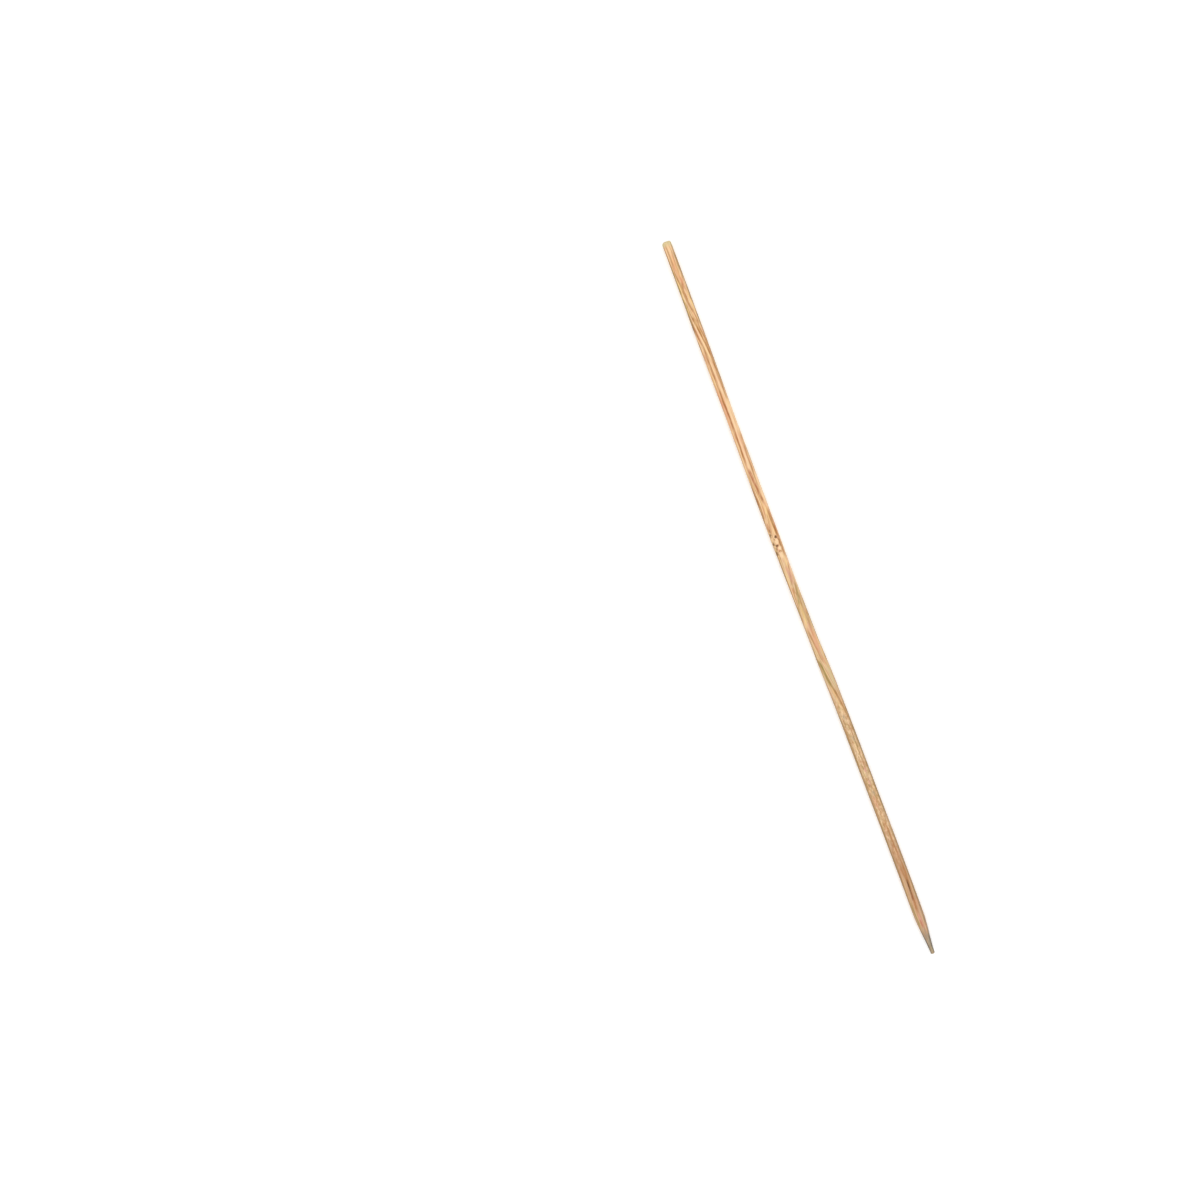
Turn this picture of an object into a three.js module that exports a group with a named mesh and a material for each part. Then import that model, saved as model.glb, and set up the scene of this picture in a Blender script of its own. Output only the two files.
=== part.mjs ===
// A bamboo skewer: one split stick of bamboo, cut round, sawn square at the butt and ground to a point.
//
// Units are millimetres and +Z is up. The stick lies on the plane z = 0, with its length along X, the sawn
// butt at -X and the point at +X. The origin is at the middle of its length and width, on that plane.
//
// The stick is one solid. The cutter left it round, apart from flats on two opposite sides, where the split
// strip was thinner than the round. They face sideways in the butt half. Then the grain turns a quarter
// turn, and in the other half they face up and down.
import * as THREE from "three";

// The whole stick
const LENGTH = 250; // from the sawn butt to the end of the point
const ROUND_DIAMETER = 3.5; // across the round sides
const ACROSS_FLATS = 3.12; // across the two flats on opposite sides
const THICKNESS_WANDER = 0.24; // how much the distance across the side flats changes along the stick
const THICK_AT = 31; // from the butt to the first thick place
const WANDER_LENGTH = 64; // from one thick place to the next

// The quarter turn of the grain, counted from the butt
const TURN_START = 139;
const TURN_LENGTH = 27;
const TURN_ANGLE = Math.PI / 2;

// The joint of the cane, where the stick swells a little
const JOINT_AT = 104.5;
const JOINT_LENGTH = 11;
const JOINT_SWELL = 0.06;

// The sawn butt
const RIM_ROUNDING = 0.8;

// The ground point
const POINT_LENGTH = 14;
const POINT_END_DIAMETER = 1.5;
const POINT_END_ROUNDING = 0.5;

// The natural bend of the cane, seen from above: [share of the length, sideways shift]
const BEND = [
  [0, 0],
  [0.24, -0.38],
  [0.42, -0.62],
  [0.54, -0.48],
  [0.64, -0.04],
  [0.76, 0.14],
  [0.88, 0.2],
  [1, 0],
];

// How finely the surface is divided
const SIDES = 40;
const LONG_STEP = 5;
const SHORT_STEP = 1.5;
const ROUNDING_STEPS = 4;
const TINY = 1e-6;

const WOOD_COLOUR = 0xe2b586;
const WOOD_ROUGHNESS = 0.62;

const clamp01 = (value) => Math.min(1, Math.max(0, value));

// A smooth hump, 1 at the middle and 0 half a length away on either side.
function hump(offset, length) {
  const share = clamp01(Math.abs(offset) / (length / 2));
  return (1 + Math.cos(Math.PI * share)) / 2;
}

// The bevel of a quarter round of this rounding, at a distance in from where the round starts.
function roundingCut(distance, rounding) {
  const reach = Math.max(0, rounding - distance);
  return rounding - Math.sqrt(rounding ** 2 - reach ** 2);
}

// How far the flats have turned about the stick's axis, at a distance from the butt.
function flatsAngle(station) {
  return -TURN_ANGLE * THREE.MathUtils.smoothstep(station, TURN_START, TURN_START + TURN_LENGTH);
}

// The radius of the uncut stick in a direction about its axis: angle 0 is +Y and a quarter turn is +Z.
function stickRadius(station, angle) {
  const swell = JOINT_SWELL * hump(station - JOINT_AT, JOINT_LENGTH);
  const round = ROUND_DIAMETER / 2 + swell;
  const wander = (THICKNESS_WANDER / 4) * Math.cos((2 * Math.PI * (station - THICK_AT)) / WANDER_LENGTH);
  const toFlat = ACROSS_FLATS / 2 + swell + wander * (1 - flatsAngle(station) / -TURN_ANGLE);
  const facingFlat = Math.abs(Math.cos(angle - flatsAngle(station)));
  return Math.min(round, toFlat / Math.max(facingFlat, TINY));
}

// The radius that the grinder leaves: a soft shoulder that falls away to a slim, blunt end.
function groundRadius(station) {
  const share = THREE.MathUtils.smoothstep(LENGTH - station, 0, POINT_LENGTH);
  return (POINT_END_DIAMETER + (ROUND_DIAMETER - POINT_END_DIAMETER) * share) / 2;
}

// The radius of the finished stick: the uncut one, less its eased rim, its ground point and rounded end.
function finishedRadius(station, angle) {
  const eased = stickRadius(station, angle) - roundingCut(station, RIM_ROUNDING);
  const ground = station < LENGTH - POINT_LENGTH ? eased : Math.min(eased, groundRadius(station));
  const past = clamp01(1 - (LENGTH - station) / POINT_END_ROUNDING);
  return ground * Math.sqrt(1 - past ** 2);
}

// Places along the stick where its surface is divided: close together where the form changes quickly.
function stations() {
  const places = [];
  const divide = (from, to, step) => {
    const count = Math.max(1, Math.ceil((to - from) / step));
    for (let i = 0; i < count; i += 1) places.push(from + ((to - from) * i) / count);
  };
  const jointStart = JOINT_AT - JOINT_LENGTH / 2;
  const jointEnd = JOINT_AT + JOINT_LENGTH / 2;
  const pointStart = LENGTH - POINT_LENGTH;
  divide(0, RIM_ROUNDING, RIM_ROUNDING / ROUNDING_STEPS);
  divide(RIM_ROUNDING, jointStart, LONG_STEP);
  divide(jointStart, jointEnd, SHORT_STEP);
  divide(jointEnd, TURN_START, LONG_STEP);
  divide(TURN_START, TURN_START + TURN_LENGTH, SHORT_STEP);
  divide(TURN_START + TURN_LENGTH, pointStart, LONG_STEP);
  divide(pointStart, LENGTH - POINT_END_ROUNDING, SHORT_STEP);
  divide(LENGTH - POINT_END_ROUNDING, LENGTH, POINT_END_ROUNDING / ROUNDING_STEPS);
  return places.sort((a, b) => a - b);
}

// The stick is turned as a plain round rod, and each corner is then moved in to its own radius and on to
// the bent axis.
function skewerGeometry() {
  const axis = new THREE.CatmullRomCurve3(
    BEND.map(([share, shift]) => new THREE.Vector3(share * LENGTH, shift, 0)),
  );
  const places = stations();
  const profile = [new THREE.Vector2(0, 0)];
  for (const place of places) profile.push(new THREE.Vector2(ROUND_DIAMETER / 2, place));
  profile.push(new THREE.Vector2(0, LENGTH));

  const geometry = new THREE.LatheGeometry(profile, SIDES);
  const position = geometry.getAttribute("position");
  const corner = new THREE.Vector3();
  for (let i = 0; i < position.count; i += 1) {
    corner.fromBufferAttribute(position, i);
    const station = corner.y;
    const angle = Math.atan2(corner.x, corner.z);
    const onAxis = Math.hypot(corner.x, corner.z) < TINY;
    const radius = onAxis ? 0 : finishedRadius(station, angle);
    const centre = axis.getPointAt(station / LENGTH);
    position.setXYZ(i, centre.x, centre.y + radius * Math.cos(angle), radius * Math.sin(angle));
  }

  geometry.computeBoundingBox();
  const middle = geometry.boundingBox.getCenter(new THREE.Vector3());
  geometry.translate(-middle.x, -middle.y, -geometry.boundingBox.min.z);
  geometry.computeVertexNormals();
  return geometry;
}

const skewer = new THREE.Mesh(
  skewerGeometry(),
  new THREE.MeshStandardMaterial({ color: WOOD_COLOUR, roughness: WOOD_ROUGHNESS, metalness: 0 }),
);
skewer.name = "skewer";

const part = new THREE.Group();
part.add(skewer);

export default part;
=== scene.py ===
"""A bamboo skewer: a thin split stick with a sawn butt, a ground point and the marks of the cane in it."""

import math

import bmesh
import bpy
from bpy.props import FloatProperty, FloatVectorProperty, IntProperty, PointerProperty
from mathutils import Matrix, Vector, noise


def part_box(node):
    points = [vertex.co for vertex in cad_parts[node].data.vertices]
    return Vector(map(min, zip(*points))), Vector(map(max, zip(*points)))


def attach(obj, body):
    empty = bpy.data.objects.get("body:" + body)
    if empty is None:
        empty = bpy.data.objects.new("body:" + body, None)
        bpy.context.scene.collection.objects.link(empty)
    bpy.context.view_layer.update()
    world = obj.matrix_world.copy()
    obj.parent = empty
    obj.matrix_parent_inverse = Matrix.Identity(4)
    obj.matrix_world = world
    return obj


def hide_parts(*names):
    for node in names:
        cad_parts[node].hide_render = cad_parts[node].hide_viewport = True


bl_info = {
    "name": "Bamboo skewer",
    "version": (1, 0, 0),
    "blender": (4, 5, 0),
    "location": "View3D > Sidebar > Skewer",
    "description": "Models a split bamboo skewer and the table top that it lies on",
    "category": "Object",
}

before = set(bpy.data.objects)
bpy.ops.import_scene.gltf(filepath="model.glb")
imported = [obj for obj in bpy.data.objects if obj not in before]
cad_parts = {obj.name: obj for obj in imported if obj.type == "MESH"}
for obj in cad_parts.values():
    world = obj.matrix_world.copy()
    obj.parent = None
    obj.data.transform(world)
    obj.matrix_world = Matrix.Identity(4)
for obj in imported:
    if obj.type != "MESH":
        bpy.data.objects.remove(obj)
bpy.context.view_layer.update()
LOW, HIGH = (Vector(corner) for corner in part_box("skewer"))

MM = 0.001
LENGTH = HIGH.x - LOW.x
BUTT = LOW.x
UNDERSIDE = LOW.z
WELD_DISTANCE = 0.001 * MM
TINY = 1e-6

# The end of the point, in the millimetres from the butt that the marks and the material count in
TIP = LENGTH / MM

# The natural bend of the cane, seen from above: share of the length, and sideways shift in millimetres.
BEND = (
    (0.0, 0.0),
    (0.24, -0.38),
    (0.42, -0.62),
    (0.54, -0.48),
    (0.64, -0.04),
    (0.76, 0.14),
    (0.88, 0.2),
    (1.0, 0.0),
)

# How far the grain runs sideways under the cut surface: share of the length, and drift in millimetres.
DRIFT = (
    (0.0, 0.0),
    (0.05, 0.2),
    (0.17, 3.4),
    (0.23, 3.9),
    (0.33, 3.5),
    (0.37, 4.2),
    (0.41, 3.4),
    (0.5, 2.8),
    (0.56, 3.0),
    (1.0, 3.0),
)

# How finely the ends are divided: rings across the flat of an end, over the butt's rim and over the tip
END_RINGS = 5
RIM_STEPS = 8
TIP_STEPS = 6

# The noise of each kind of wear: its size in millimetres along and across the grain, and where it starts
WEAR = {
    "strip": (38, 0.9, (5, 0, 0)),
    "pit": (0.8, 0.6, (0, 0, 9)),
    "line": (0.16, 1.1, (0, 0, 17)),
    "facet": (6, 0.5, (0, 0, 23)),
    "chip": (1.1, 0.35, (0, 0, 31)),
}

# How coarse the saw's marks on the butt are: fine ones, and broad ones on top of them
SAW_MARK = 0.12 * MM
BROAD_SAW_MARK = 0.2 * MM

# How far past the start of the point the grinding lines begin, and where they are at their full depth
GRINDING_START = 1 * MM
GRINDING_FULL = 4 * MM

# The photograph's frame, in its own pixels: its side, and the middle of the stick at each end.
PHOTO_SIDE = 1200
BUTT_PIXEL = Vector((665.5, 242.0))
POINT_PIXEL = Vector((932.6, 954.0))


def wood_colour(name, description, red, green, blue):
    """A colour property, given as it looks on screen from 0 to 255."""

    def linear(value):
        share = value / 255
        return share / 12.92 if share <= 0.04045 else ((share + 0.055) / 1.055) ** 2.4

    default = tuple(linear(value) for value in (red, green, blue))
    return FloatVectorProperty(name=name, description=description, subtype="COLOR", size=3, default=default)


def length(name, description, millimetres):
    """A length property, with its default in millimetres."""
    return FloatProperty(
        name=name, description=description, default=millimetres * MM, unit="LENGTH", precision=5
    )


class StickSizes(bpy.types.PropertyGroup):
    """The sizes of the stick itself."""

    round_diameter: length("Round diameter", "Across the round sides", 3.5)
    across_flats: length("Across flats", "Across the two flats on opposite sides", 3.12)
    thickness_wander: length("Thickness wander", "How much the width across the side flats changes", 0.24)
    thick_at: length("First thick place", "From the butt to the first thick place", 31)
    wander_length: length("Wander length", "From one thick place to the next", 64)
    turn_start: length("Turn start", "Where the grain starts to turn, from the butt", 139)
    turn_length: length("Turn length", "How long the quarter turn of the grain takes", 27)
    turn_angle: FloatProperty(
        name="Turn angle", description="How far the grain turns", default=math.pi / 2, subtype="ANGLE"
    )
    joint_at: length("Joint", "Middle of the cane's joint, from the butt", 104.5)
    joint_length: length("Joint length", "How far the swelling at the joint reaches", 11)
    joint_swell: length("Joint swell", "How much radius the joint adds", 0.06)
    rim_rounding: length("Rim rounding", "Rounding of the sawn butt's rim", 0.8)
    point_length: length("Point length", "How long the ground point is", 14)
    point_end_diameter: length("Point end", "Diameter that the point ends with", 1.5)
    point_end_rounding: length("Point rounding", "Rounding of the point's end", 0.5)
    sides: IntProperty(name="Sides", description="Faces round the stick", default=144, min=24, max=160)


class WoodRelief(bpy.types.PropertyGroup):
    """The depths of what splitting, sawing and grinding leave in the surface."""

    fibre_depth: length("Fibre depth", "Depth of the grooves between fibres", 0.03)
    fibre_pitch: length("Fibre pitch", "From one fibre groove to the next", 0.3)
    fibre_run: length("Fibre run", "How far a groove keeps its course", 22)
    tear_depth: length("Tear depth", "Depth of the broad strips torn out along the grain", 0.06)
    joint_depth: length("Joint depth", "Depth of the pits at the joint", 0.1)
    saw_depth: length("Saw depth", "Roughness of the sawn butt", 0.05)
    chipped_length: length("Chipped length", "How far from the butt its rim is chipped", 1.6)
    grind_depth: length("Grind depth", "Depth of the grinding lines on the point", 0.02)
    thread_depth: length("Thread depth", "Depth of the single threads of the grain", 0.02)


class WoodColours(bpy.types.PropertyGroup):
    """The colours of the bare cane."""

    honey: wood_colour("Honey", "The butt half", 255, 214, 166)
    rose: wood_colour("Rose", "The middle, past the joint", 234, 202, 158)
    tan: wood_colour("Tan", "The point half", 216, 186, 146)
    toast: wood_colour("Toast", "Above the point", 203, 166, 132)
    smoke: wood_colour("Smoke", "The ground point", 172, 152, 130)
    pebble: wood_colour("Pebble", "The very end of the point", 152, 162, 140)
    # Painted shade: the dark colour laid on the sides of the point, and along its edges, where they turn away
    # from the light from above.
    ash: wood_colour("Ash", "Scorched edges of the point", 104, 92, 76)
    straw: wood_colour("Straw", "The sawn end", 216, 204, 152)
    umber: wood_colour("Umber", "Dark bundles and streaks", 176, 114, 56)
    # Bark and olive also serve as painted shade in the dark strands close along the edges.
    bark: wood_colour("Bark", "The darkest flecks", 108, 68, 30)
    # Painted shade: a darker colour for the sides that turn away from the light from above, and for the dark
    # strands close along the edges.
    hide: wood_colour("Hide", "The split sides", 158, 124, 72)
    olive: wood_colour("Olive", "What is left of the skin", 156, 136, 66)
    russet: wood_colour("Russet", "Reddish marks", 180, 106, 62)
    blush: wood_colour("Blush", "Pinkish patches and spots", 234, 158, 122)
    petal: wood_colour("Petal", "Small pink spots", 220, 158, 140)
    butter: wood_colour("Butter", "Yellow streaks", 255, 216, 146)
    chalk: wood_colour("Chalk", "Pale pith", 255, 220, 176)


class StageLook(bpy.types.PropertyGroup):
    """The table top, lamps and camera."""

    floor_side: FloatProperty(
        name="Floor side", description="Side of the square floor", default=6.0, unit="LENGTH"
    )
    floor_drop: length("Floor drop", "How far the floor lies under the stick", 0.02)
    camera_height: FloatProperty(
        name="Camera height", description="Height of the camera over the stick", default=1.2, unit="LENGTH"
    )
    sensor_width: FloatProperty(name="Sensor", description="Width of the camera's sensor", default=36.0)
    key_power: FloatProperty(
        name="Key lamp", description="Power of the large soft lamp", default=8.0, unit="POWER"
    )
    fill_power: FloatProperty(
        name="Fill lamp", description="Power of the lamp opposite", default=7.0, unit="POWER"
    )
    lamp_size: FloatProperty(name="Lamp size", description="Side of both lamps", default=1.6, unit="LENGTH")
    lamp_aside: FloatProperty(
        name="Lamp aside", description="How far out along X each lamp is", default=0.7, unit="LENGTH"
    )
    lamp_across: FloatProperty(
        name="Lamp across", description="How far out along Y each lamp is", default=0.6, unit="LENGTH"
    )
    lamp_height: FloatProperty(
        name="Lamp height", description="Height of both lamps", default=1.7, unit="LENGTH"
    )
    sky_strength: FloatProperty(name="Sky", description="Strength of the even light", default=0.74)


def smoothstep(value, start, end):
    """Goes smoothly from 0 to 1 as the value goes from start to end."""
    share = min(1.0, max(0.0, (value - start) / (end - start)))
    return share * share * (3 - 2 * share)


def hump(offset, whole):
    """A smooth hump, 1 at the middle and 0 half of its length away on either side."""
    share = min(1.0, abs(offset) / (whole / 2))
    return (1 + math.cos(math.pi * share)) / 2


def shift_at(station, course):
    """The sideways shift at a distance from the butt: a smooth curve through the places of the course."""
    places = [share * LENGTH for share, _ in course]
    shifts = [shift * MM for _, shift in course]
    steps = [b - a for a, b in zip(places, places[1:])]
    slopes = [(b - a) / step for a, b, step in zip(shifts, shifts[1:], steps)]
    tangents = [slopes[0], *((a + b) / 2 for a, b in zip(slopes, slopes[1:])), slopes[-1]]
    index = max(i for i in range(len(steps)) if places[i] <= station or i == 0)
    step = steps[index]
    t = (station - places[index]) / step
    rise = shifts[index + 1] - shifts[index]
    first = tangents[index] * step
    last = tangents[index + 1] * step
    return shifts[index] + first * t + (3 * rise - 2 * first - last) * t**2 + (first + last - 2 * rise) * t**3


def wear(kind, station, across, up):
    """Noise from -1 to 1 at a place in the grain, as coarse as the kind of wear says."""
    run, pitch, start = WEAR[kind]
    place = (station / (run * MM), across / (pitch * MM), up / (pitch * MM))
    return noise.noise(Vector([value + shift for value, shift in zip(place, start)]))


class StickForm:
    """The form of the stick, worked out from its sizes by the rules that the CAD solid follows."""

    def __init__(self, sizes, relief):
        self.sizes = sizes
        self.relief = relief

    def axis_height(self):
        """How high the axis lies, with the swelling at the joint on the plane under the stick."""
        return UNDERSIDE + self.sizes.round_diameter / 2 + self.sizes.joint_swell

    def turn(self, station):
        """How far the grain has turned about the axis."""
        sizes = self.sizes
        return -sizes.turn_angle * smoothstep(station, sizes.turn_start, sizes.turn_start + sizes.turn_length)

    def cut_radius(self, station, angle):
        """The radius that the cutter leaves: round, apart from the two flats."""
        sizes = self.sizes
        swell = sizes.joint_swell * hump(station - sizes.joint_at, sizes.joint_length)
        turned = self.turn(station)
        wave = math.cos(2 * math.pi * (station - sizes.thick_at) / sizes.wander_length)
        wander = sizes.thickness_wander / 4 * wave
        to_flat = sizes.across_flats / 2 + swell + wander * (1 + turned / sizes.turn_angle)
        facing_flat = abs(math.cos(angle - turned))
        return min(sizes.round_diameter / 2 + swell, to_flat / max(facing_flat, TINY))

    def ground_radius(self, station):
        """The radius that the grinder leaves: a soft shoulder that falls away to a slim, blunt end."""
        sizes = self.sizes
        share = smoothstep(LENGTH - station, 0, sizes.point_length)
        return (sizes.point_end_diameter + (sizes.round_diameter - sizes.point_end_diameter) * share) / 2

    def finished_radius(self, station, angle):
        """The radius of the cut stick, less its eased rim, its ground point and its rounded end."""
        sizes = self.sizes
        reach = max(0.0, sizes.rim_rounding - station)
        eased = self.cut_radius(station, angle) - sizes.rim_rounding
        eased += math.sqrt(max(0.0, sizes.rim_rounding**2 - reach**2))
        on_point = station >= LENGTH - sizes.point_length
        ground = min(eased, self.ground_radius(station)) if on_point else eased
        past = min(1.0, max(0.0, 1 - (LENGTH - station) / sizes.point_end_rounding))
        return ground * math.sqrt(max(0.0, 1 - past**2))

    def on_ground_point(self, station):
        """1 on the ground point, 0 on the rest of the stick."""
        start = LENGTH - self.sizes.point_length
        return smoothstep(station, start + GRINDING_START, start + GRINDING_FULL)

    def groove(self, station, across, up):
        """How much radius splitting, the joint, the saw and the grinder take away at a place in the grain."""
        relief = self.relief
        sizes = self.sizes
        along = station / relief.fibre_run
        pitch = relief.fibre_pitch
        fibre = noise.noise(Vector((along, across / pitch, up / pitch)))
        fine = noise.noise(Vector((2.3 * along, 2.1 * across / pitch, 2.1 * up / pitch)))
        depth = relief.fibre_depth * (0.5 + 0.4 * fibre + 0.25 * fine)

        grain = (station, across, up)
        depth += relief.tear_depth * smoothstep(wear("strip", *grain), 0.12, 0.5)

        at_joint = hump(station - sizes.joint_at, sizes.joint_length)
        if at_joint:
            depth += relief.joint_depth * at_joint * smoothstep(wear("pit", *grain), 0.02, 0.5)

        ground = self.on_ground_point(station)
        if ground:
            depth += ground * relief.grind_depth * (1 + wear("line", *grain) + 1.5 * wear("facet", *grain))

        rim = 1 - smoothstep(station, 0, relief.chipped_length)
        if rim:
            depth += rim * relief.tear_depth * smoothstep(wear("chip", *grain), 0.0, 0.5)
        return depth


def stretches(sizes):
    """Stretches of the stick, each with the length of its faces: short where the form changes quickly."""
    butt, plain, turning, jointed, ground = 0.15 * MM, 0.5 * MM, 0.45 * MM, 0.2 * MM, 0.18 * MM
    butt_end = 3 * MM
    joint_start = sizes.joint_at - sizes.joint_length / 2
    turn_end = sizes.turn_start + sizes.turn_length
    point_start = LENGTH - sizes.point_length
    point_round = LENGTH - sizes.point_end_rounding
    stops = (
        (0.0, sizes.rim_rounding / RIM_STEPS),
        (sizes.rim_rounding, butt),
        (butt_end, plain),
        (joint_start / 2, plain),
        (joint_start, jointed),
        (joint_start + sizes.joint_length, plain),
        (sizes.turn_start, turning),
        (turn_end, plain),
        ((turn_end + point_start) / 2, plain),
        (point_start, ground),
        (point_round, sizes.point_end_rounding / TIP_STEPS),
        (LENGTH, None),
    )
    return [(start, end, step) for (start, step), (end, _) in zip(stops, stops[1:])]


def select_only(mesh, edges=None, faces=None):
    """In edit mode, selects the edges or faces that the test picks, and nothing else."""
    bpy.ops.mesh.select_all(action="DESELECT")
    edited = bmesh.from_edit_mesh(mesh)
    for edge in edited.edges if edges else ():
        edge.select_set(edges(edge))
    for face in edited.faces if faces else ():
        face.select_set(faces(face))
    bmesh.update_edit_mesh(mesh)


def round_blank(form):
    """A round rod with ringed ends, divided along its length as the stretches say."""
    sizes = form.sizes
    bpy.ops.object.select_all(action="DESELECT")
    bpy.ops.mesh.primitive_cylinder_add(
        vertices=sizes.sides,
        radius=sizes.round_diameter / 2,
        depth=LENGTH,
        end_fill_type="NGON",
        location=(BUTT + LENGTH / 2, 0, form.axis_height()),
        rotation=(0, math.pi / 2, 0),
    )
    blank = bpy.context.object
    bpy.ops.object.transform_apply(location=True, rotation=True, scale=True)

    bpy.ops.object.mode_set(mode="EDIT")
    bpy.ops.mesh.select_mode(type="FACE")
    facing_end = 0.9
    select_only(blank.data, faces=lambda face: abs(face.normal.x) > facing_end)
    for _ in range(END_RINGS):
        bpy.ops.mesh.inset(thickness=sizes.round_diameter / 2 / (END_RINGS + 1), use_boundary=True)
    bpy.ops.mesh.poke()

    bpy.ops.mesh.select_mode(type="EDGE")
    for start, _, _ in stretches(sizes)[1:]:
        bpy.ops.mesh.select_all(action="SELECT")
        bpy.ops.mesh.bisect(plane_co=(BUTT + start, 0, 0), plane_no=(1, 0, 0))
    for start, end, step in stretches(sizes):
        middle = BUTT + (start + end) / 2
        half = (end - start) / 2

        def spans(edge):
            ends = [vertex.co.x for vertex in edge.verts]
            return max(ends) - min(ends) > half and abs(sum(ends) / 2 - middle) < half / 2

        select_only(blank.data, edges=spans)
        bpy.ops.mesh.subdivide(number_cuts=round((end - start) / step) - 1)
    bpy.ops.object.mode_set(mode="OBJECT")
    return blank


def even_round(distance, rounding):
    """Spreads rings that are evenly spaced over a rounding evenly over its quarter circle."""
    if distance >= rounding:
        return distance
    return rounding * (1 - math.cos(math.pi / 2 * distance / rounding))


def cut_to_form(blank, form):
    """Moves the blank's vertices to the stick's form, and notes each one's place and place in the grain."""
    sizes = form.sizes
    axis_height = form.axis_height()
    blank_radius = sizes.round_diameter / 2
    shifts = {}
    spots, places, grains, reach = [], [], [], []
    for vertex in blank.data.vertices:
        station = even_round(vertex.co.x - BUTT, sizes.rim_rounding)
        station = LENGTH - even_round(LENGTH - station, sizes.point_end_rounding)
        out = Vector((vertex.co.y, vertex.co.z - axis_height))
        share = min(1.0, out.length / blank_radius)
        angle = math.atan2(out.y, out.x)
        key = round(station / MM, 4)
        if key not in shifts:
            shifts[key] = (shift_at(station, BEND), shift_at(station, DRIFT))
        bend, drift = shifts[key]
        grain_angle = angle - form.turn(station)
        smooth = form.finished_radius(station, angle)
        depth = form.groove(station, smooth * math.cos(grain_angle) - drift, smooth * math.sin(grain_angle))
        radius = share * max(0.0, smooth - depth)
        across, up = radius * math.cos(angle), radius * math.sin(angle)
        if station < TINY:
            saw = noise.noise(Vector((across, up, 0)) / SAW_MARK)
            saw += noise.noise(Vector((up, 0, 3)) / BROAD_SAW_MARK)
            station += form.relief.saw_depth * (1 + 0.5 * saw) * smoothstep(1.02 - share, 0, 0.25)
        spots.append(Vector((BUTT + station, bend + across, axis_height + up)))
        reach += [bend + smooth * math.cos(angle)]
        places += [station / MM, across / MM, up / MM]
        grain = (station, radius * math.cos(grain_angle) - drift, radius * math.sin(grain_angle))
        grains += [value / MM for value in grain]

    middle = (LOW.y + HIGH.y) / 2 - (min(reach) + max(reach)) / 2
    placed = [value for spot in spots for value in (spot.x, spot.y + middle, spot.z)]
    blank.data.vertices.foreach_set("co", placed)
    for name, values in (("place", places), ("grain", grains)):
        attribute = blank.data.attributes.new(name=name, type="FLOAT_VECTOR", domain="POINT")
        attribute.data.foreach_set("vector", values)
    blank.data.update()


class Tree:
    """Adds nodes to one node tree and links them. Each call returns the new node's output."""

    def __init__(self, tree):
        self.nodes = tree.nodes
        self.links = tree.links

    def join(self, value, socket):
        """Links an output to a socket, or sets a plain value on it."""
        if isinstance(value, bpy.types.NodeSocket):
            self.links.new(value, socket)
        else:
            socket.default_value = value

    def node(self, kind, *inputs, **settings):
        """A node with settings, and its first inputs in order. None leaves an input as it is."""
        made = self.nodes.new(kind)
        for name, value in settings.items():
            setattr(made, name, value)
        for value, socket in zip(inputs, made.inputs):
            if value is not None:
                self.join(value, socket)
        return made

    def math(self, operation, *values):
        """One step of arithmetic on plain values."""
        return self.node("ShaderNodeMath", *values, operation=operation).outputs[0]

    def vector(self, operation, *values):
        """One step of arithmetic on vectors."""
        return self.node("ShaderNodeVectorMath", *values, operation=operation).outputs[0]

    def parts(self, vector):
        """The x, y and z of a vector."""
        return self.node("ShaderNodeSeparateXYZ", vector).outputs

    def joined(self, x, y, z):
        """A vector of three values."""
        return self.node("ShaderNodeCombineXYZ", x, y, z).outputs[0]

    def attribute(self, name):
        """A vector noted on the mesh's points."""
        return self.node("ShaderNodeAttribute", attribute_name=name).outputs["Vector"]

    def step(self, value, start, end, low=0.0, high=1.0):
        """Goes smoothly from low to high as the value goes from start to end."""
        made = self.node("ShaderNodeMapRange", value, start, end, low, high, interpolation_type="SMOOTHSTEP")
        return made.outputs["Result"]

    def noise(self, vector, detail=2.0, roughness=0.5):
        """Noise round 0.5, at a size of 1 in the vector's own units."""
        made = self.node("ShaderNodeTexNoise")
        self.join(vector, made.inputs["Vector"])
        made.inputs["Scale"].default_value = 1.0
        made.inputs["Detail"].default_value = detail
        made.inputs["Roughness"].default_value = roughness
        return made.outputs["Fac"]

    def mix(self, share, first, second):
        """The first colour at a share of 0, and the second at 1."""
        made = self.nodes.new("ShaderNodeMix")
        made.data_type = "RGBA"
        self.join(share, made.inputs[0])
        self.join(first, made.inputs[6])
        self.join(second, made.inputs[7])
        return made.outputs[2]

    def group(self, name, **inputs):
        """One of the shader groups below, with its inputs by name."""
        made = self.nodes.new("ShaderNodeGroup")
        made.node_tree = bpy.data.node_groups[name]
        for key, value in inputs.items():
            self.join(value, made.inputs[key])
        return made.outputs[0]


def new_group(name, output, **inputs):
    """A shader group with one value output, and float or vector inputs with these defaults."""
    group = bpy.data.node_groups.new(name, "ShaderNodeTree")
    group.interface.new_socket(name=output, in_out="OUTPUT", socket_type="NodeSocketFloat")
    for key, default in inputs.items():
        kind = "NodeSocketFloat" if isinstance(default, float) else "NodeSocketVector"
        group.interface.new_socket(name=key, in_out="INPUT", socket_type=kind).default_value = default
    tree = Tree(group)
    sockets = tree.node("NodeGroupInput").outputs
    return tree, {key: sockets[key] for key in inputs}, tree.node("NodeGroupOutput").inputs[0]


def build_streaks_group():
    """Uneven streaks that run along the grain, from 0 to 1."""
    tree, given, output = new_group(
        "grain_streaks", "Value", Grain=(0.0, 0.0, 0.0), Run=20.0, Pitch=0.3, Seed=0.0
    )
    scale = tree.joined(given["Run"], given["Pitch"], given["Pitch"])
    stretched = tree.vector("DIVIDE", given["Grain"], scale)
    moved = tree.vector("ADD", stretched, tree.joined(given["Seed"], given["Seed"], given["Seed"]))
    tree.join(tree.step(tree.noise(moved, detail=3.0, roughness=0.6), 0.3, 0.7), output)


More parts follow.
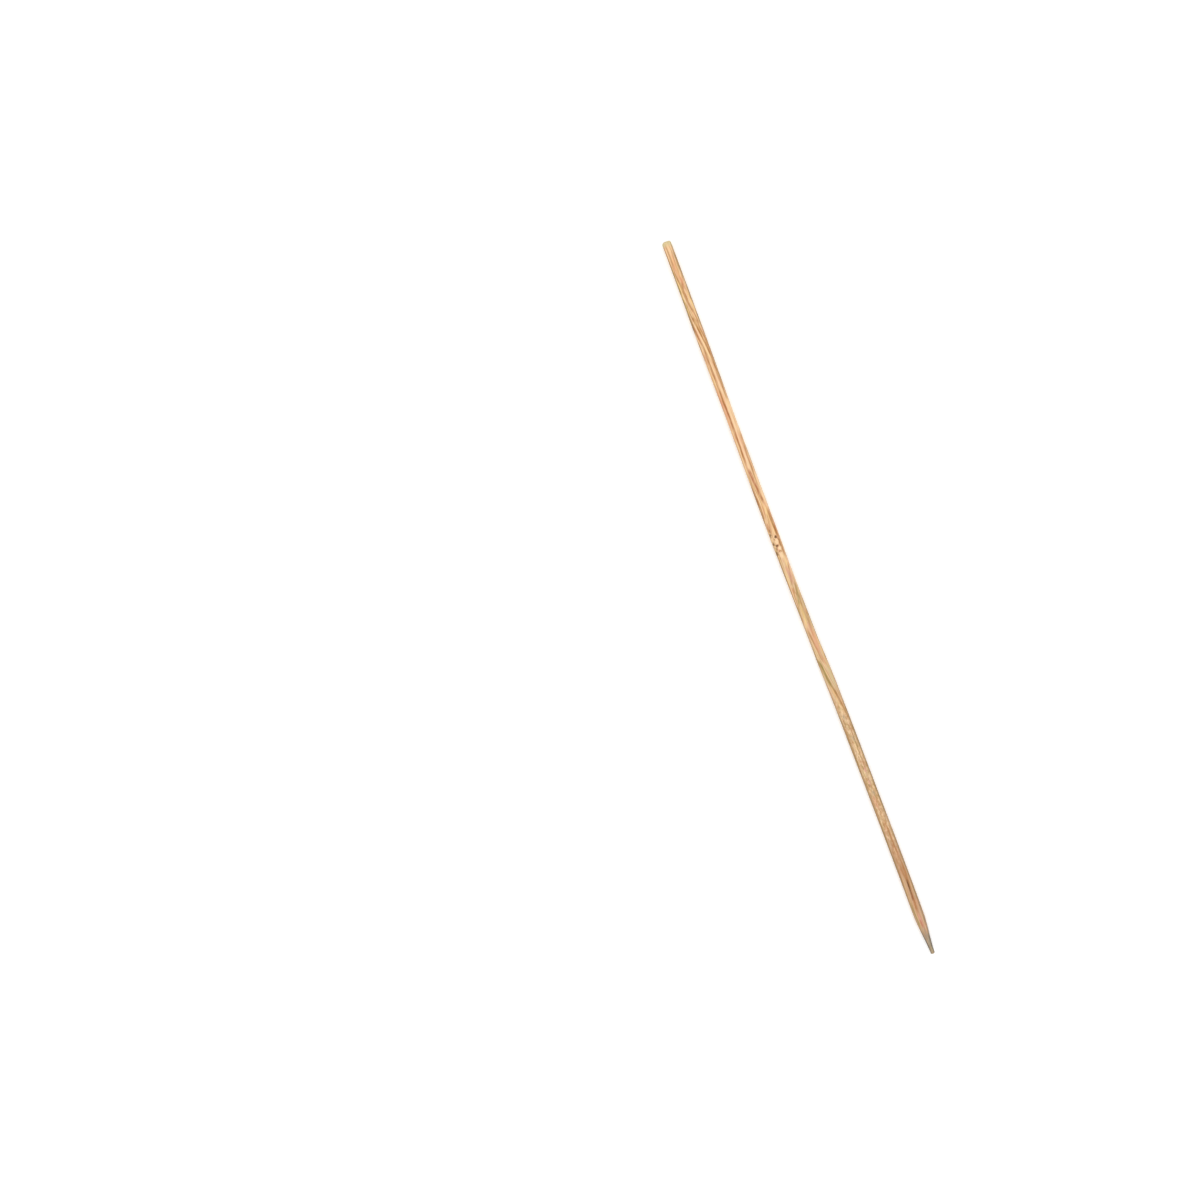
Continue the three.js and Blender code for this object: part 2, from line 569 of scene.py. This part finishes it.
def build_bundles_group():
    """The cane's fibre bundles: dots on a sawn face, and long thin streaks along the sides."""
    tree, given, output = new_group(
        "fibre_bundles", "Mask", Grain=(0.0, 0.0, 0.0), Run=45.0, Pitch=0.4, Width=0.3
    )
    cells = tree.vector("DIVIDE", given["Grain"], tree.joined(given["Run"], given["Pitch"], given["Pitch"]))
    voronoi = tree.node("ShaderNodeTexVoronoi", voronoi_dimensions="3D", feature="F1")
    tree.join(cells, voronoi.inputs["Vector"])
    voronoi.inputs["Scale"].default_value = 1.0
    voronoi.inputs["Randomness"].default_value = 0.85
    inner = tree.math("MULTIPLY", given["Width"], 0.45)
    tree.join(tree.step(voronoi.outputs["Distance"], inner, given["Width"], 1.0, 0.0), output)


# Strands on the upper side: start and end as (station, across) in millimetres, width, colour, strength. The
# dark strands that run close along the edges are painted shade of the edges, which turn away from the light.
STRANDS = (
    ((-6, 1.42), (54, 1.5), 0.42, "hide", 0.75),
    ((-6, -1.45), (24, -1.5), 0.4, "olive", 0.45),
    ((19, -1.45), (32, -1.45), 0.36, "bark", 0.5),
    ((52, 1.4), (96, 1.4), 0.5, "chalk", 0.7),
    ((71, 1.5), (82, 1.45), 0.3, "olive", 0.6),
    ((84, -1.5), (100, -1.5), 0.36, "bark", 0.5),
    ((124, 1.5), (148, 1.5), 0.4, "hide", 0.8),
    ((112, -1.5), (150, -1.6), 0.36, "hide", 0.6),
    ((160, 1.5), (206, 1.55), 0.54, "hide", 0.95),
    ((205, 1.5), (234, 1.45), 0.46, "hide", 0.9),
    ((160, -1.55), (236, -1.55), 0.42, "hide", 0.75),
    ((112.5, 1.1), (120.5, -0.5), 0.38, "umber", 0.75),
    ((116, 1.4), (124.5, -0.1), 0.36, "umber", 0.85),
    ((119.5, 1.3), (127.5, -0.4), 0.34, "olive", 0.7),
    ((118, 0.9), (125, -0.6), 0.26, "chalk", 0.8),
    ((123, 1.0), (132, -0.5), 0.32, "umber", 0.6),
    ((122, -0.6), (134, -1.2), 0.34, "umber", 0.6),
    ((129, 1.1), (139, 0.1), 0.34, "umber", 0.55),
    ((126, 0.3), (135, -0.7), 0.3, "butter", 0.7),
    ((40, 0.2), (54, 0.55), 0.4, "chalk", 0.8),
    ((3, 1.0), (15, 1.1), 0.5, "hide", 0.45),
    ((1, -0.7), (9, -0.45), 0.3, "umber", 0.6),
    ((1, 1.35), (22, 1.4), 0.34, "hide", 0.8),
    ((8, -1.35), (30, -1.35), 0.34, "olive", 0.6),
    ((13, -1.0), (26, -0.95), 0.3, "butter", 0.9),
    ((8, -0.5), (15, 0.15), 0.3, "blush", 0.8),
    ((2, 0.55), (12, 0.35), 0.26, "umber", 0.55),
    ((5, -0.05), (13, 0.05), 0.3, "butter", 0.7),
    ((4, 0.3), (13, 0.1), 0.4, "blush", 0.5),
    ((12, 0.5), (20, 0.0), 0.5, "blush", 0.6),
    ((9, -0.2), (17, -0.7), 0.3, "umber", 0.5),
    ((53, 0.5), (80, 0.35), 0.55, "chalk", 0.5),
    ((50, -1.1), (66, -1.15), 0.5, "blush", 0.6),
    ((66, 0.3), (80, 1.0), 0.5, "blush", 0.4),
    ((32, 0.2), (42, 0.35), 0.34, "butter", 0.8),
    ((17, 0.6), (26, 1.1), 0.3, "butter", 0.7),
    ((22, -0.5), (33, 0.45), 0.3, "butter", 0.8),
    ((27, -1.0), (38, -0.1), 0.26, "chalk", 0.7),
    ((84, -0.6), (98, 0.2), 0.3, "butter", 0.6),
    ((92, 0.5), (103, 0.45), 0.3, "butter", 0.8),
    ((14, -0.05), (23, -0.1), 0.42, "umber", 0.95),
    ((10, -0.9), (21, -0.2), 0.34, "umber", 0.8),
    ((20.5, -1.0), (31, 0.1), 0.44, "umber", 1.0),
    ((17, -0.6), (25, 0.25), 0.3, "umber", 0.9),
    ((24, -0.95), (34, 0.25), 0.3, "umber", 0.95),
    ((27, 0.35), (36, 1.15), 0.3, "umber", 0.85),
    ((21, 0.3), (29, 0.9), 0.34, "umber", 0.85),
    ((18, -1.0), (27, -0.35), 0.26, "chalk", 0.9),
    ((16, 0.1), (24, 0.6), 0.26, "chalk", 0.8),
    ((31, -0.4), (41, 0.45), 0.28, "chalk", 0.8),
    ((25, -1.25), (37, -0.8), 0.3, "umber", 0.5),
    ((29.5, 0.05), (41, 0.9), 0.42, "umber", 0.9),
    ((39, 0.85), (56, 1.1), 0.44, "umber", 0.9),
    ((34, -0.5), (60, -0.4), 0.4, "umber", 0.9),
    ((54, -0.4), (79, -0.6), 0.42, "umber", 1.0),
    ((56, -0.45), (74, -0.5), 0.3, "russet", 0.7),
    ((66, 1.3), (83, 0.55), 0.4, "umber", 0.7),
    ((79, -0.55), (92, 0.35), 0.66, "russet", 0.95),
    ((78, 0.7), (92, 0.2), 0.36, "umber", 0.6),
    ((80, -1.2), (98, -1.2), 0.34, "umber", 0.7),
    ((93, 0.95), (111, 1.0), 0.62, "umber", 1.0),
    ((95, 0.2), (104, -0.9), 0.36, "umber", 0.6),
    ((135, -0.9), (148, 0.05), 0.46, "umber", 0.75),
    ((146, -1.2), (156.5, -0.4), 0.56, "olive", 1.0),
    ((150.5, -0.85), (163, 0.6), 0.36, "umber", 0.65),
    ((147, -1.0), (160, 0.3), 0.34, "olive", 0.6),
    ((156, 0.1), (168, 1.2), 0.4, "umber", 0.7),
    ((201, -0.1), (225, 0.8), 0.4, "umber", 0.7),
    ((212, -1.1), (226, 0.0), 0.4, "umber", 0.65),
    ((217, 0.5), (236, -0.1), 0.5, "umber", 0.9),
    ((223.5, 0.1), (231.5, -0.1), 0.42, "bark", 1.0),
    ((231, 1.4), (243, 1.05), 0.32, "ash", 0.5),
    ((228, -0.05), (238, -0.2), 0.6, "russet", 0.5),
    ((231, -1.3), (241, -1.0), 0.36, "olive", 0.8),
)

# The lowest place that a strand or a spot reaches, in millimetres over the axis
LOWEST_MARK = -0.4

# The noise that makes the marks uneven: its size in millimetres along, across and up, and its layers
WAVER = ((7, 3, 3), 4)
FINE = ((5, 0.12, 0.12), 3)
BROKEN = ((2.5, 0.22, 0.22), 4)
RAGGED = ((0.6, 0.16, 0.16), 4)

# Spots that reach less far than this along the stick have a firm core and a ragged rim.
SMALL_SPOT = 1.4

# How far past its ends a strand is looked for in millimetres, and a spot past its middle in reaches
STRAND_MARGIN = 2
SPOT_MARGIN = 1.6

# Soft spots: middle as (station, across, up) and reach, in millimetres, colour, strength.
SPOTS = (
    ((88, 1.4, 0.8), (9, 0.9, 1.6), "chalk", 0.6),
    ((117, 1.5, 0.8), (8, 0.7, 1.6), "chalk", 0.8),
    ((100, -0.9, 1.2), (2.6, 0.6, 1), "russet", 0.5),
    ((101.2, -0.9, 1), (0.9, 0.3, 1), "bark", 0.5),
    ((102.6, -1.2, 1), (0.9, 0.4, 1), "bark", 0.75),
    ((103.5, 0.2, 1.6), (0.5, 0.4, 1), "bark", 1.0),
    ((104.3, -0.5, 1.6), (0.5, 0.3, 1), "umber", 0.8),
    ((105.0, 0.05, 1.6), (1.1, 0.65, 1), "chalk", 1.0),
    ((106.4, -0.35, 1.5), (0.45, 0.6, 1), "bark", 0.9),
    ((105.6, -1.2, 1), (0.7, 0.4, 1), "bark", 0.75),
    ((107.2, -0.85, 1.5), (0.6, 0.3, 1), "bark", 0.5),
    ((107.4, 0.2, 1.6), (0.7, 0.6, 1), "chalk", 1.0),
    ((108.4, 0.0, 1.6), (0.5, 0.5, 1), "umber", 0.8),
    ((109.8, -0.1, 1.6), (1.3, 0.6, 1), "chalk", 0.8),
    ((108.9, -1.2, 1), (1.0, 0.4, 1), "bark", 0.75),
    ((110.6, -0.9, 1), (0.7, 0.25, 1), "umber", 0.7),
    ((117, 0.2, 1.4), (4.5, 0.9, 1.4), "petal", 0.5),
    ((127, 0.6, 1.4), (12, 1.8, 1.8), "olive", 0.2),
    ((122, -0.4, 1.4), (1.2, 0.5, 1), "umber", 0.5),
    ((127, 0.3, 1.4), (1.6, 0.4, 1), "umber", 0.4),
    ((135, 0.1, 1.6), (2.6, 0.6, 1), "petal", 0.5),
    ((140, 0.3, 1.6), (6, 1.0, 1.5), "blush", 0.5),
    ((129, -1.3, 1.2), (2.4, 0.4, 1), "olive", 0.5),
    ((152, 0.95, 1.2), (6, 0.75, 1.4), "straw", 0.6),
    ((166.8, -0.2, 1.5), (1.0, 0.4, 1), "smoke", 0.5),
    ((174.3, 0.1, 1.5), (1.0, 0.4, 1), "smoke", 0.5),
    ((185.5, 0.15, 1.5), (1.0, 0.45, 1), "petal", 0.7),
    ((189.8, 0.05, 1.5), (0.9, 0.4, 1), "petal", 0.7),
    ((190.6, -0.5, 1.5), (0.7, 0.3, 1), "bark", 0.4),
    ((196.5, -0.4, 1.5), (3.6, 0.7, 1), "blush", 0.4),
    ((193.4, 0.1, 1.5), (1.0, 0.5, 1), "smoke", 0.5),
    ((238.2, -0.1, 1.3), (3.4, 0.6, 1), "petal", 0.8),
    ((239.2, -0.25, 1.3), (2.2, 0.4, 1), "russet", 0.7),
)


def weld(stick):
    """Joins the points that fall together where the end cap closes at the tip."""
    bpy.ops.object.select_all(action="DESELECT")
    stick.select_set(True)
    bpy.context.view_layer.objects.active = stick
    bpy.ops.object.mode_set(mode="EDIT")
    bpy.ops.mesh.select_all(action="SELECT")
    bpy.ops.mesh.remove_doubles(threshold=WELD_DISTANCE)
    bpy.ops.object.mode_set(mode="OBJECT")


def layered_noise(spot, sizes, layers):
    """Uneven values round 0.5, with finer and fainter layers on the first."""
    at = Vector([value / size for value, size in zip(spot, sizes)])
    total = sum(0.5**layer * noise.noise(at * 2**layer) for layer in range(layers))
    return 0.5 + 0.25 * total / (1 - 0.5**layers)


def strand_cover(strand, spot, waver, fine, broken):
    """How much a strand covers a place on the upper side: it wavers, thins and breaks along its way."""
    start, end, width = strand[:3]
    along, across, up = spot
    share = (along - start[0]) / (end[0] - start[0])
    middle = start[1] + share * (end[1] - start[1]) + 0.5 * (waver - 0.5)
    off = abs(across - middle) / (width * (fine + 0.5))
    cover = (1 - smoothstep(off, 0.25, 1)) * (0.35 + 0.65 * smoothstep(broken, 0.3, 0.6))
    ends = smoothstep(share, -0.04, 0.16) * (1 - smoothstep(share, 0.84, 1.04))
    return cover * ends * smoothstep(up, LOWEST_MARK, 0.3)


def spot_cover(mark, spot, ragged):
    """How much a spot covers a place: fully in its ragged core, not at all beyond its reach."""
    middle, reach = mark[:2]
    core, roughness = (0.7, 2.4) if reach[0] < SMALL_SPOT else (0.35, 1.1)
    distance = math.dist([a / b for a, b in zip(spot, reach)], [a / b for a, b in zip(middle, reach)])
    return 1 - smoothstep(distance + roughness * (ragged - 0.5), core, 1)


def marks_near(station):
    """The strands and the spots that can reach a place along the stick."""
    strands = [
        strand
        for strand in STRANDS
        if strand[0][0] - STRAND_MARGIN < station < strand[1][0] + STRAND_MARGIN
    ]
    spots = [mark for mark in SPOTS if abs(mark[0][0] - station) < SPOT_MARGIN * mark[1][0] + 1]
    return strands, spots


def paint_marks(mesh, colours):
    """Notes on each point of the mesh how much its strands and spots cover, and their colour times that."""
    near = {}
    painted = []
    for point in mesh.attributes["place"].data:
        spot = tuple(point.vector)
        slice_at = round(spot[0])
        if slice_at not in near:
            near[slice_at] = marks_near(slice_at)
        strands, spots = near[slice_at]
        colour, cover = Vector((0, 0, 0)), 0.0
        if spot[2] > LOWEST_MARK:
            layers = []
            if strands:
                waver = layered_noise(spot, *WAVER)
                fine = layered_noise(spot, *FINE)
                broken = layered_noise(spot, *BROKEN)
                layers += [(strand_cover(strand, spot, waver, fine, broken), strand) for strand in strands]
            if spots:
                ragged = layered_noise(spot, *RAGGED)
                layers += [(spot_cover(mark, spot, ragged), mark) for mark in spots]
            for share, (*_, name, strength) in layers:
                share *= strength
                colour = colour.lerp(Vector(getattr(colours, name)), share)
                cover += (1 - cover) * share
        painted += [*colour, cover]
    attribute = mesh.attributes.new(name="marks", type="FLOAT_COLOR", domain="POINT")
    attribute.data.foreach_set("color", painted)


def tone_along(tree, along, colours):
    """The wood's plain colour, which changes along the stick."""
    tone = tree.node("ShaderNodeValToRGB", tree.math("DIVIDE", along, TIP))
    ramp = tone.color_ramp
    stops = (
        (0.0, "honey"),
        (0.4, "honey"),
        (0.46, "rose"),
        (0.54, "rose"),
        (0.66, "tan"),
        (0.73, "tan"),
        (0.86, "toast"),
        (0.96, "toast"),
        (0.972, "smoke"),
        (0.99, "pebble"),
    )
    while len(ramp.elements) < len(stops):
        ramp.elements.new(1.0)
    for element, (place, name) in zip(ramp.elements, stops):
        element.position = place
        element.color = (*getattr(colours, name), 1)
    return tone.outputs["Color"]


# Streaks along the grain: their length and width in millimetres, and the seed of their noise
STREAKS = {
    "pink": (6.0, 0.75, 3.0),
    "yellow": (10.0, 0.5, 57.0),
    "pale": (30.0, 0.4, 11.0),
    "dark": (20.0, 0.5, 41.0),
    "fine": (12.0, 0.13, 7.0),
    "faded": (9.0, 0.8, 19.0),
    "patchy": (16.0, 0.6, 71.0),
    "scorch_and_shade": (4.0, 0.25, 23.0),
    "threads": (5.0, 0.07, 29.0),
}

# Fibre bundles: how far one runs, and each kind's spacing in millimetres and width as a share of it
BUNDLE_RUN = 50.0
BUNDLES = {"plain": (0.42, 0.34), "small": (0.27, 0.42)}

# Where a look comes in and where it goes again, in millimetres from the butt
ROPED = ((4, 14), (36, 48))
SPECKLED = ((156, 166), (205, 225))
SMOKY = ((TIP - 10, TIP - 4), (TIP - 4, TIP - 0.5))
# The stretch where painted shade darkens the sides of the point.
SHADED_POINT = ((TIP - 9.5, TIP - 4.5), (TIP - 3, TIP))


class BambooShader:
    """Bare split bamboo: each method lays one part of its look over the colour so far."""

    def __init__(self, material, colours):
        self.tree = tree = Tree(material.node_tree)
        self.shader = tree.nodes["Principled BSDF"]
        self.paint = {name: (*getattr(colours, name), 1) for name in WoodColours.__annotations__}
        self.place, self.grain = tree.attribute("place"), tree.attribute("grain")
        self.along, self.across, self.up = tree.parts(self.place)
        self.colour = tone_along(tree, self.along, colours)
        self.dark, self.fine, self.faded = (self.streaks(kind) for kind in ("dark", "fine", "faded"))
        self.bundles = self.fibres("plain")
        radial = tree.joined(0.0, self.across, self.up)
        radius = tree.node("ShaderNodeVectorMath", radial, operation="LENGTH").outputs["Value"]
        self.sideways = tree.math("DIVIDE", tree.math("ABSOLUTE", self.across), radius)

    def streaks(self, kind):
        """Streaks of one kind, from 0 to 1."""
        run, pitch, seed = STREAKS[kind]
        return self.tree.group("grain_streaks", Grain=self.grain, Run=run, Pitch=pitch, Seed=seed)

    def fibres(self, kind):
        """Fibre bundles of one kind, from 0 to 1."""
        pitch, width = BUNDLES[kind]
        return self.tree.group("fibre_bundles", Grain=self.grain, Run=BUNDLE_RUN, Pitch=pitch, Width=width)

    def times(self, first, second):
        """The product of two values."""
        return self.tree.math("MULTIPLY", first, second)

    def over(self, stretch, left=0.0):
        """1 on a stretch of the stick, 0 before it, and what is left after it."""
        (start, full), (going, gone) = stretch
        step = self.tree.step
        return self.times(step(self.along, start, full), step(self.along, going, gone, 1.0, left))

    def lay(self, share, name):
        """Lays a named colour over the colour so far, by a share from 0 to 1."""
        self.colour = self.tree.mix(share, self.colour, self.paint[name])

    def lay_streaks(self):
        """Pale, yellow and pink streaks that calm down towards the point, then dark and fine ones."""
        step = self.tree.step
        lively = step(self.along, 100, 200, 1.0, 0.45)
        for kind, name, strength in (
            ("pink", "blush", 0.72),
            ("yellow", "butter", 0.7),
            ("pale", "chalk", 0.6),
        ):
            self.lay(self.times(step(self.streaks(kind), 0.4, 1.0, 0.0, strength), lively), name)
        strength = step(self.over(ROPED), 0.0, 1.0, 0.5, 0.65)
        self.lay(self.times(step(self.dark, 0.45, 1.0), strength), "umber")
        self.lay(self.times(self.fine, 0.14), "umber")
        self.lay(self.times(self.bundles, step(self.faded, 0.0, 1.0, 0.05, 0.5)), "umber")

    def lay_side_shade(self):
        """Painted shade: darkens, in streaks and patches, the sides that face sideways, away from the light
        from above.
        """
        step = self.tree.step
        uneven = self.tree.math("SUBTRACT", self.dark, 0.5)
        side = self.tree.math("MULTIPLY_ADD", uneven, 0.25, self.sideways)
        patchy = step(self.streaks("patchy"), 0.1, 0.8, 0.3, 1.0)
        # Painted shade: the darker colour is laid where the surface faces sideways.
        self.lay(self.times(step(side, 0.74, 0.97, 0.0, 0.72), patchy), "hide")

    def lay_speckle(self):
        """The speckled face of the point half, which the sides don't have."""
        tree, step = self.tree, self.tree.step
        speckled = self.times(self.over(SPECKLED), step(self.sideways, 0.55, 0.9, 1.0, 0.15))
        flecks = tree.noise(tree.vector("DIVIDE", self.place, (1.3, 0.45, 0.45)), detail=2.0, roughness=0.6)
        for start, end, name in ((0.53, 0.63, "umber"), (0.48, 0.38, "chalk")):
            self.lay(self.times(speckled, step(flecks, start, end, 0.0, 0.55)), name)
        mould = tree.noise(tree.vector("DIVIDE", self.grain, (2.2, 0.5, 0.5)), detail=2.0)
        self.lay(self.times(speckled, step(mould, 0.5, 0.62, 0.0, 0.35)), "olive")

    def lay_marks(self):
        """The strands and spots noted on the mesh's points, where the colour is already times its cover."""
        marks = self.tree.node("ShaderNodeAttribute", attribute_name="marks").outputs
        bare = self.tree.math("SUBTRACT", 1.0, marks["Alpha"])
        bare = self.tree.joined(bare, bare, bare)
        self.colour = self.tree.vector("MULTIPLY_ADD", self.colour, bare, marks["Color"])

    def lay_point(self):
        """The smoky ground point, with painted shade that darkens its sides and lets up a little at the very
        end.
        """
        step = self.tree.step
        scorch_and_shade_streaks = self.streaks("scorch_and_shade")
        self.lay(self.times(self.over(SMOKY, 0.15), step(scorch_and_shade_streaks, 0.2, 0.9, 0.4, 0.8)), "smoke")
        uneven = self.tree.math("SUBTRACT", scorch_and_shade_streaks, 0.5)
        # Painted shade: darker where the point's surface faces sideways, away from the light from above.
        point_shade_mask = step(self.tree.math("MULTIPLY_ADD", uneven, 0.5, self.sideways), 0.2, 0.85, 0.05, 0.85)
        self.lay(self.times(point_shade_mask, self.over(SHADED_POINT, 0.6)), "ash")

    def lay_sawn_end(self):
        """The greenish sawn end, with the fibre bundles cut across as dots."""
        tree, step = self.tree, self.tree.step
        sawn = step(tree.math("ADD", self.along, self.times(self.fine, 0.8)), 1.2, 2.8, 1.0, 0.0)
        self.lay(self.times(sawn, step(self.faded, 0.0, 1.0, 0.55, 0.9)), "straw")
        dots = tree.math("MAXIMUM", self.fibres("small"), self.bundles)
        dots = self.times(step(self.along, 0.1, 0.5, 1.0, 0.0), dots)
        self.lay(self.times(dots, 0.85), "umber")

    def finish(self, relief):
        """Joins the colour, a dull roughness and the threads' fine relief to the shader."""
        tree, inputs = self.tree, self.shader.inputs
        tree.join(self.colour, inputs["Base Color"])
        roughness = tree.step(tree.math("ADD", self.bundles, self.fine), 0.0, 2.0, 0.68, 0.5)
        tree.join(roughness, inputs["Roughness"])
        inputs["Specular IOR Level"].default_value = 0.35
        threads = tree.math("ADD", self.streaks("threads"), self.fine)
        bump = tree.nodes.new("ShaderNodeBump")
        bump.inputs["Strength"].default_value = 0.7
        bump.inputs["Distance"].default_value = relief.thread_depth
        tree.join(tree.math("MULTIPLY_ADD", self.bundles, -0.6, threads), bump.inputs["Height"])
        tree.join(bump.outputs["Normal"], inputs["Normal"])


def bamboo_material(colours, relief):
    """Bare split bamboo, laid from the plain colour up."""
    material = bpy.data.materials.new("bamboo")
    material.use_nodes = True
    bamboo = BambooShader(material, colours)
    bamboo.lay_streaks()
    bamboo.lay_side_shade()
    bamboo.lay_speckle()
    bamboo.lay_marks()
    bamboo.lay_point()
    bamboo.lay_sawn_end()
    bamboo.finish(relief)
    return material


def floor_material():
    """A plain white surface that keeps the object's shadow."""
    material = bpy.data.materials.new("table_top")
    material.use_nodes = True
    tree = Tree(material.node_tree)
    shader = tree.nodes["Principled BSDF"]
    seen = tree.nodes.new("ShaderNodeLightPath").outputs
    direct = tree.math("MAXIMUM", seen["Is Camera Ray"], seen["Is Glossy Ray"])
    direct = tree.math("MAXIMUM", direct, seen["Is Transmission Ray"])
    grey, white, black, glow = ((value, value, value, 1) for value in (0.8, 1.0, 0.0, 0.2))
    tree.join(tree.mix(direct, grey, white), shader.inputs["Base Color"])
    tree.join(tree.mix(direct, black, glow), shader.inputs["Emission Color"])
    shader.inputs["Emission Strength"].default_value = 1.0
    shader.inputs["Roughness"].default_value = 0.9
    shader.inputs["Specular IOR Level"].default_value = 0.0
    return material


def soft_lamp(name, power, size, location):
    """A square area lamp that points at the middle of the stick."""
    data = bpy.data.lights.new(name, "AREA")
    data.energy = power
    data.size = size
    lamp = bpy.data.objects.new(name, data)
    lamp.location = location
    lamp.rotation_euler = (-Vector(location)).to_track_quat("-Z", "Y").to_euler()
    bpy.context.collection.objects.link(lamp)


def photograph_camera(look):
    """A camera straight over the stick, framed as the photograph is."""
    along = POINT_PIXEL - BUTT_PIXEL
    pixel = LENGTH / along.length
    turn = math.atan2(along.y, along.x)
    off_centre = (BUTT_PIXEL + POINT_PIXEL) / 2 - Vector((PHOTO_SIDE, PHOTO_SIDE)) / 2
    right = Vector((math.cos(turn), math.sin(turn), 0))
    top = Vector((-math.sin(turn), math.cos(turn), 0))
    middle = (LOW + HIGH) / 2
    data = bpy.data.cameras.new("camera")
    data.sensor_width = look.sensor_width
    data.lens = look.sensor_width * look.camera_height / (PHOTO_SIDE * pixel)
    camera = bpy.data.objects.new("camera", data)
    camera.rotation_euler = (0, 0, turn)
    camera.location = middle - right * off_centre.x * pixel + top * off_centre.y * pixel
    camera.location.z += look.camera_height
    bpy.context.collection.objects.link(camera)
    bpy.context.scene.camera = camera


class SKEWER_OT_stick(bpy.types.Operator):
    """Cuts the stick from a round blank, with its flats, joint, sawn butt and ground point"""

    bl_idname = "skewer.stick"
    bl_label = "Stick"
    bl_options = {"REGISTER", "UNDO"}

    def execute(self, context):
        scene = context.scene
        form = StickForm(scene.skewer_sizes, scene.skewer_relief)
        stick = round_blank(form)
        stick.name = "stick"
        stick.data.name = "stick"
        cut_to_form(stick, form)
        weld(stick)
        bpy.ops.object.shade_smooth()
        paint_marks(stick.data, scene.skewer_colours)
        build_streaks_group()
        build_bundles_group()
        stick.data.materials.append(bamboo_material(scene.skewer_colours, scene.skewer_relief))
        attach(stick, "root")
        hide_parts("skewer")
        return {"FINISHED"}


class SKEWER_OT_stage(bpy.types.Operator):
    """Lays the white table top and sets the soft lamps and the camera"""

    bl_idname = "skewer.stage"
    bl_label = "Stage"
    bl_options = {"REGISTER", "UNDO"}

    def execute(self, context):
        look = context.scene.skewer_stage
        bpy.ops.object.select_all(action="DESELECT")
        bpy.ops.mesh.primitive_plane_add(size=look.floor_side, location=(0, 0, UNDERSIDE - look.floor_drop))
        floor = context.object
        floor.name = "table_top"
        bpy.ops.object.transform_apply(location=True)
        floor.data.materials.append(floor_material())

        for name, power, side in (("key", look.key_power, -1), ("fill", look.fill_power, 1)):
            place = (side * look.lamp_aside, -side * look.lamp_across, look.lamp_height)
            soft_lamp(name, power, look.lamp_size, place)
        world = bpy.data.worlds.new("even_light")
        world.use_nodes = True
        background = world.node_tree.nodes["Background"]
        background.inputs["Color"].default_value = (1, 1, 1, 1)
        background.inputs["Strength"].default_value = look.sky_strength
        context.scene.world = world
        context.scene.view_settings.view_transform = "Standard"
        photograph_camera(look)
        return {"FINISHED"}


class SKEWER_PT_panel(bpy.types.Panel):
    """Lists what the skewer is made of"""

    bl_idname = "SKEWER_PT_panel"
    bl_label = "Bamboo skewer"
    bl_space_type = "VIEW_3D"
    bl_region_type = "UI"
    bl_category = "Skewer"

    def draw(self, context):
        layout = self.layout
        for operator, groups in (
            (SKEWER_OT_stick, ("skewer_sizes", "skewer_relief", "skewer_colours")),
            (SKEWER_OT_stage, ("skewer_stage",)),
        ):
            box = layout.box()
            box.operator(operator.bl_idname)
            for name in groups:
                group = getattr(context.scene, name)
                for key in group.__annotations__:
                    box.prop(group, key)


CLASSES = (
    StickSizes,
    WoodRelief,
    WoodColours,
    StageLook,
    SKEWER_OT_stick,
    SKEWER_OT_stage,
    SKEWER_PT_panel,
)
SETTINGS = {
    "skewer_sizes": StickSizes,
    "skewer_relief": WoodRelief,
    "skewer_colours": WoodColours,
    "skewer_stage": StageLook,
}


def register():
    """Registers the classes and puts their settings on the scene."""
    for made in CLASSES:
        bpy.utils.register_class(made)
    for name, group in SETTINGS.items():
        setattr(bpy.types.Scene, name, PointerProperty(type=group))


def unregister():
    """Takes the settings off the scene and the classes out."""
    for name in SETTINGS:
        delattr(bpy.types.Scene, name)
    for made in reversed(CLASSES):
        bpy.utils.unregister_class(made)


def main():
    """Makes the skewer and its stage."""
    register()
    bpy.ops.skewer.stick()
    bpy.ops.skewer.stage()


if __name__ == "__main__":
    main()
